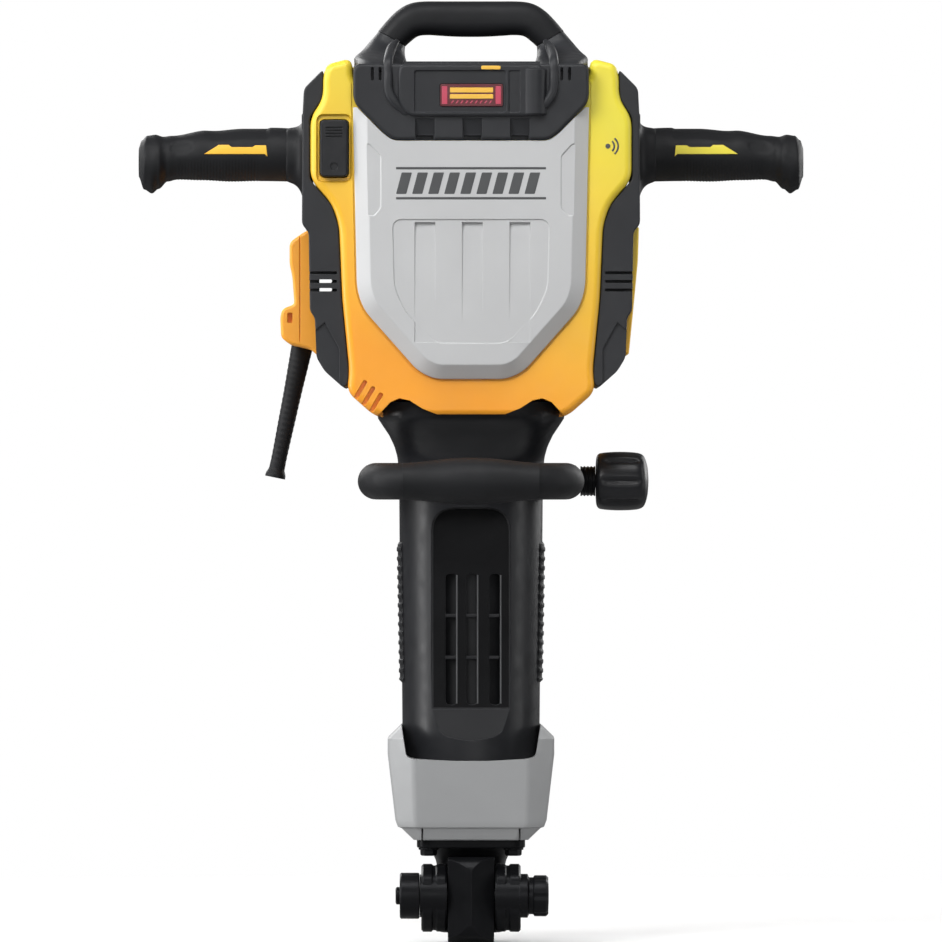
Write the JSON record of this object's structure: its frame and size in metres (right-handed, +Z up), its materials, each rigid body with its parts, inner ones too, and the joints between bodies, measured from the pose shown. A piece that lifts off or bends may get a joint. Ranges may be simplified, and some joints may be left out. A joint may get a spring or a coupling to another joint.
{
  "type": "demolition hammer",
  "caption": "Corded hex-shank demolition hammer with floating side grips, top carry handle, swivelling bail handle, vented barrel, swing-out tool latch and crank-driven air-spring striker.",
  "frame": {"origin": "on the hammer axis, level with the foot of the tool retaining latch", "axes": "+Z up the hammer axis to the carry handle; -Y is the front, with the grey panel; +X is the side of the bail's clamp knob"},
  "size_m": [0.592, 0.2883, 0.836],
  "materials": {
    "yellow_plastic": "satin moulded plastic",
    "charcoal_plastic": "fine-grained moulded plastic",
    "grey_plastic": "satin moulded plastic",
    "black_rubber": "soft overmould",
    "black_plastic": "satin moulded plastic",
    "black_steel": "blackened steel",
    "bright_steel": "ground steel",
    "spring_steel": "oiled spring wire",
    "cast_aluminium": "as cast, machined at the joints",
    "grey_casting": "grey powder coat",
    "bronze": "turned bronze",
    "copper_winding": "varnished winding",
    "circuit_plastic": "potted circuit housing"
  },
  "bodies": {
    "hammer": {"main_housing": "yellow_plastic", "front_cover": "grey_plastic", "rear_cover": "charcoal_plastic", "top_cover": "charcoal_plastic", "carry_handle": "charcoal_plastic", "carry_handle_grip": "black_rubber", "left_side_cover": "charcoal_plastic", "right_side_cover": "charcoal_plastic", "cable_inlet_cover": "yellow_plastic", "strain_relief_sleeve": "black_rubber", "switch_body": "black_plastic", "controller_module": "circuit_plastic", "motor_housing": "cast_aluminium", "motor_stator": "copper_winding", "gear_case": "cast_aluminium", "gear_cover": "cast_aluminium", "cylinder": "bright_steel", "barrel": "cast_aluminium", "barrel_cover": "black_plastic", "nose_collar": "grey_casting", "nose_flange": "black_steel", "nose_bolt_1": "black_steel", "nose_bolt_2": "black_steel", "nose_bolt_3": "black_steel", "nose_bolt_4": "black_steel", "tool_holder": "black_steel", "damper_ring": "black_rubber", "beat_piece_bush": "bronze", "left_handle_bracket": "cast_aluminium", "right_handle_bracket": "cast_aluminium", "left_handle_pin": "bright_steel", "right_handle_pin": "bright_steel", "left_handle_spring": "spring_steel", "right_handle_spring": "spring_steel", "latch_pin": "black_steel", "crank_bearing_front": "bright_steel", "crank_bearing_rear": "bright_steel"},
    "left_handle": {"left_handle_arm": "cast_aluminium", "left_grip": "black_rubber"},
    "right_handle": {"right_handle_arm": "cast_aluminium", "right_grip": "black_rubber"},
    "rocker": {"power_rocker": "black_plastic"},
    "latch": {"retaining_latch": "black_steel"},
    "clamp": {"clamp_band": "black_steel"},
    "bail": {"bail_frame": "black_plastic", "bail_grip": "black_rubber"},
    "washer": {"thrust_washer": "bright_steel"},
    "knob": {"clamp_knob": "black_plastic"},
    "motor": {"motor_shaft": "bright_steel", "motor_rotor": "bright_steel", "cooling_fan": "black_plastic"},
    "idler": {"idler_shaft": "bright_steel", "idler_gear": "bright_steel"},
    "crank": {"crankshaft": "bright_steel", "crank_gear": "bright_steel"},
    "piston": {"piston": "cast_aluminium", "wrist_pin": "bright_steel"},
    "rod": {"connecting_rod": "bright_steel"},
    "ram": {"ram": "bright_steel"},
    "beat_piece": {"beat_piece": "bright_steel"}
  },
  "joints": [
    {"name": "left_handle_float", "type": "hinge", "parent": "hammer", "child": "left_handle", "pos_m": [-0.1, 0, 0.698], "axis": [0, -1, 0], "range_deg": [0, 4], "stiffness_Nm_per_rad": 120, "deforming": ["left_handle_spring"]},
    {"name": "right_handle_float", "type": "hinge", "parent": "hammer", "child": "right_handle", "pos_m": [0.1, 0, 0.698], "axis": [0, 1, 0], "range_deg": [0, 4], "stiffness_Nm_per_rad": 120, "deforming": ["right_handle_spring"]},
    {"name": "power_rocker_tilt", "type": "hinge", "parent": "hammer", "child": "rocker", "pos_m": [-0.1204, -0.094, 0.702], "axis": [1, 0, 0], "range_deg": [0, 9]},
    {"name": "latch_swing", "type": "hinge", "parent": "hammer", "child": "latch", "pos_m": [0, -0.05, 0.042], "axis": [-1, 0, 0], "range_deg": [0, 45]},
    {"name": "bail_swivel", "type": "hinge", "parent": "hammer", "child": "clamp", "pos_m": [0, 0, 0.409], "axis": [0, 0, 1], "continuous": true},
    {"name": "bail_tilt", "type": "hinge", "parent": "clamp", "child": "bail", "pos_m": [0, 0, 0.409], "axis": [-1, 0, 0], "range_deg": [-50, 12]},
    {"name": "washer_slide", "type": "slide", "parent": "clamp", "child": "washer", "axis": [1, 0, 0], "range_m": [0, 0.003]},
    {"name": "knob_turn", "type": "hinge", "parent": "washer", "child": "knob", "pos_m": [0.1345, 0, 0.409], "axis": [1, 0, 0], "range_deg": [0, 545]},
    {"name": "crank_spin", "type": "hinge", "parent": "hammer", "child": "crank", "pos_m": [0, 0, 0.59], "axis": [0, 1, 0], "continuous": true},
    {"name": "idler_spin", "type": "hinge", "parent": "hammer", "child": "idler", "pos_m": [0, 0, 0.64863], "axis": [0, 1, 0], "continuous": true},
    {"name": "motor_spin", "type": "hinge", "parent": "hammer", "child": "motor", "pos_m": [0, 0, 0.69175], "axis": [0, 1, 0], "continuous": true},
    {"name": "piston_slide", "type": "slide", "parent": "hammer", "child": "piston", "axis": [0, 0, 1], "range_m": [-0.04, 0]},
    {"name": "rod_swing", "type": "hinge", "parent": "piston", "child": "rod", "pos_m": [0, 0, 0.51], "axis": [0, 1, 0], "range_deg": [-11.5, 11.5]},
    {"name": "ram_slide", "type": "slide", "parent": "hammer", "child": "ram", "axis": [0, 0, 1], "range_m": [0, 0.05]},
    {"name": "beat_piece_slide", "type": "slide", "parent": "hammer", "child": "beat_piece", "axis": [0, 0, 1], "range_m": [-0.012, 0]}
  ],
  "couplings": [
    {"joint": "idler_spin", "follows": "crank_spin", "ratio": -4.5833},
    {"joint": "motor_spin", "follows": "crank_spin", "ratio": 21.771},
    {"joint": "knob_turn", "follows": "washer_slide", "rad_per_m": 3141.6}
  ]
}
